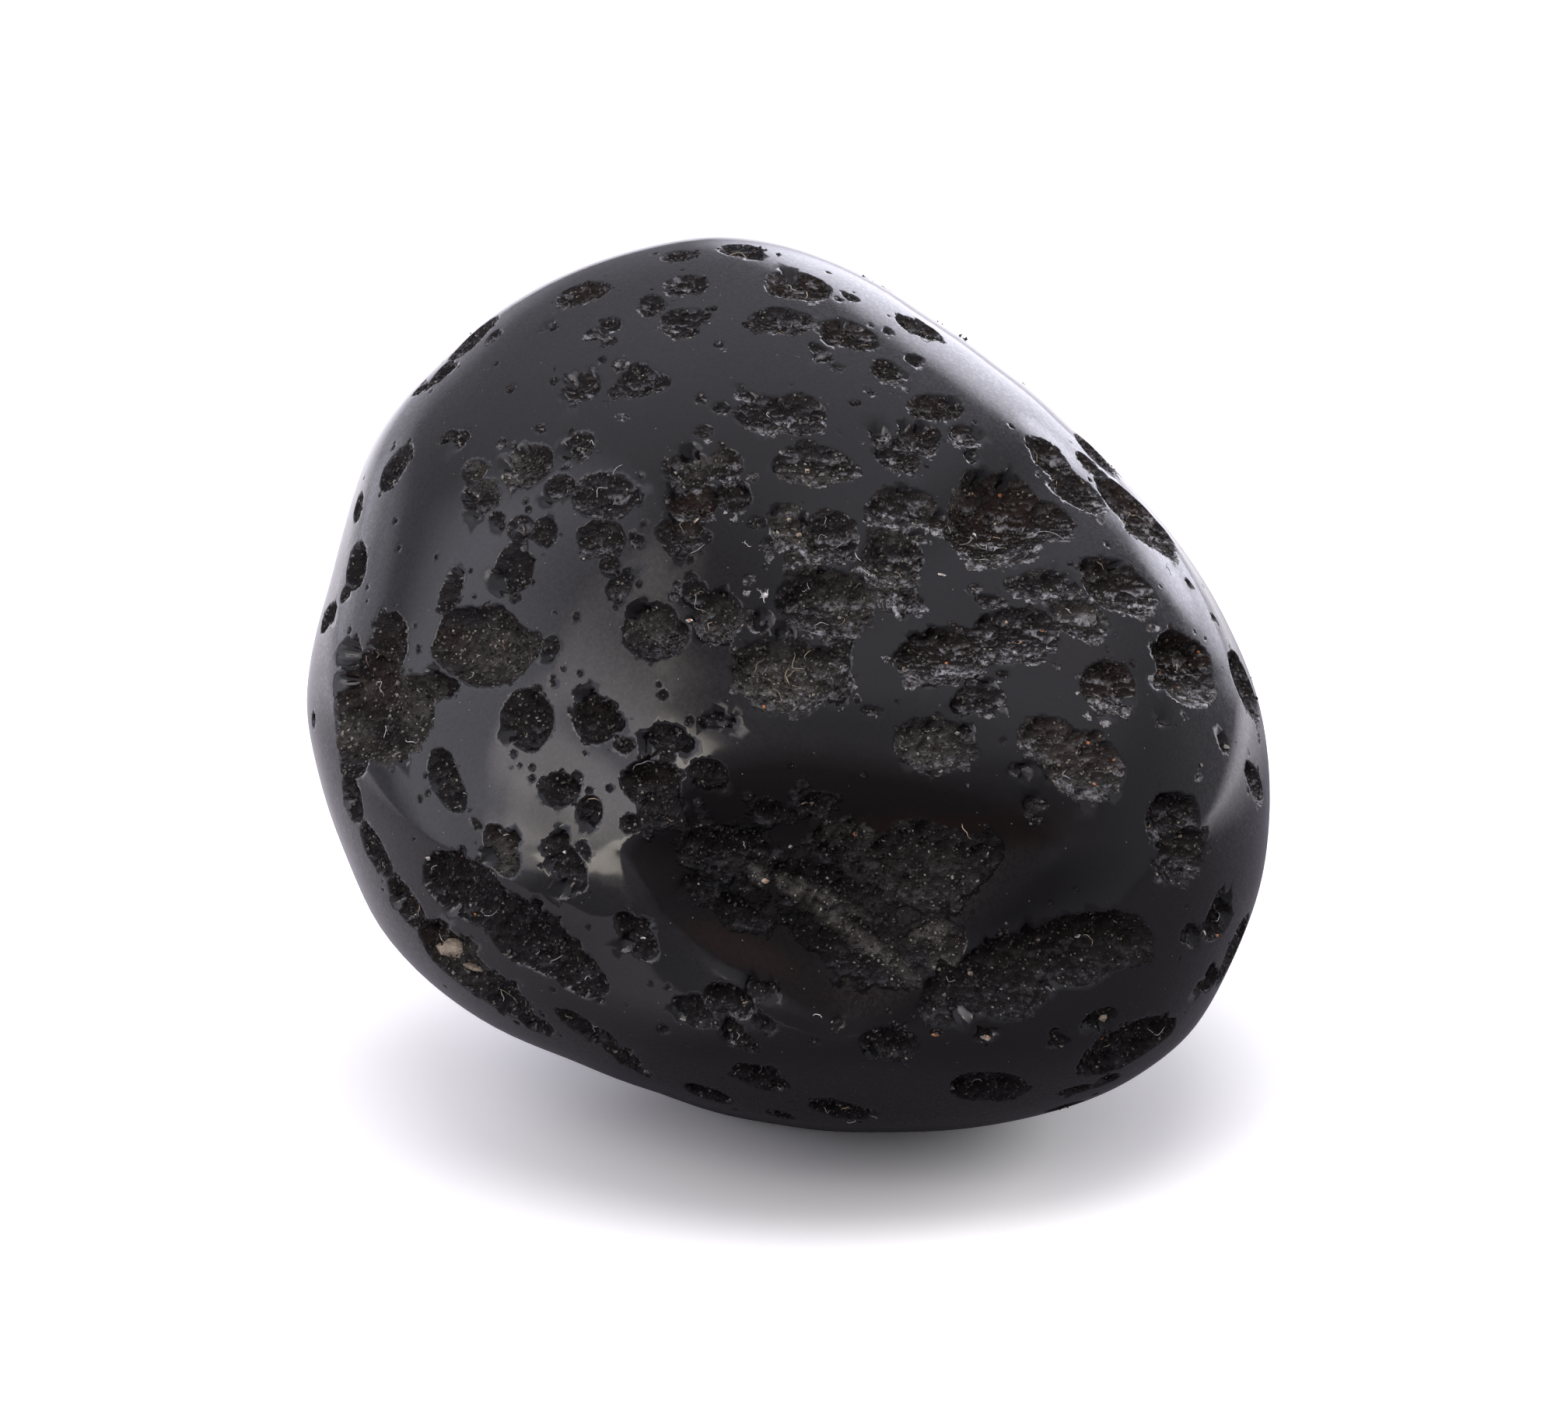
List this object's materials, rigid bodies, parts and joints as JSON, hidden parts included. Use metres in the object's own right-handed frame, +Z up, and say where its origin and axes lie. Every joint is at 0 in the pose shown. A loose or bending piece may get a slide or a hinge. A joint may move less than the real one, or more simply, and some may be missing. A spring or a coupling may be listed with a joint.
{
  "type": "tumbled obsidian stone",
  "caption": "Egg-shaped tumbled pebble of black volcanic glass, polished between many burst gas-bubble pits, resting on a small worn flat",
  "frame": {"origin": "middle of the bounding box's bottom face, on the surface that the stone rests on", "axes": "+X across the stone along its greatest extent, +Y away from the pitted front, +Z up"},
  "size_m": [0.041, 0.0382, 0.0364],
  "materials": {
    "stone": "tumbled gloss black glass with matte brown-black rough pits"
  },
  "bodies": {
    "root": {"stone": "stone"}
  },
  "joints": []
}
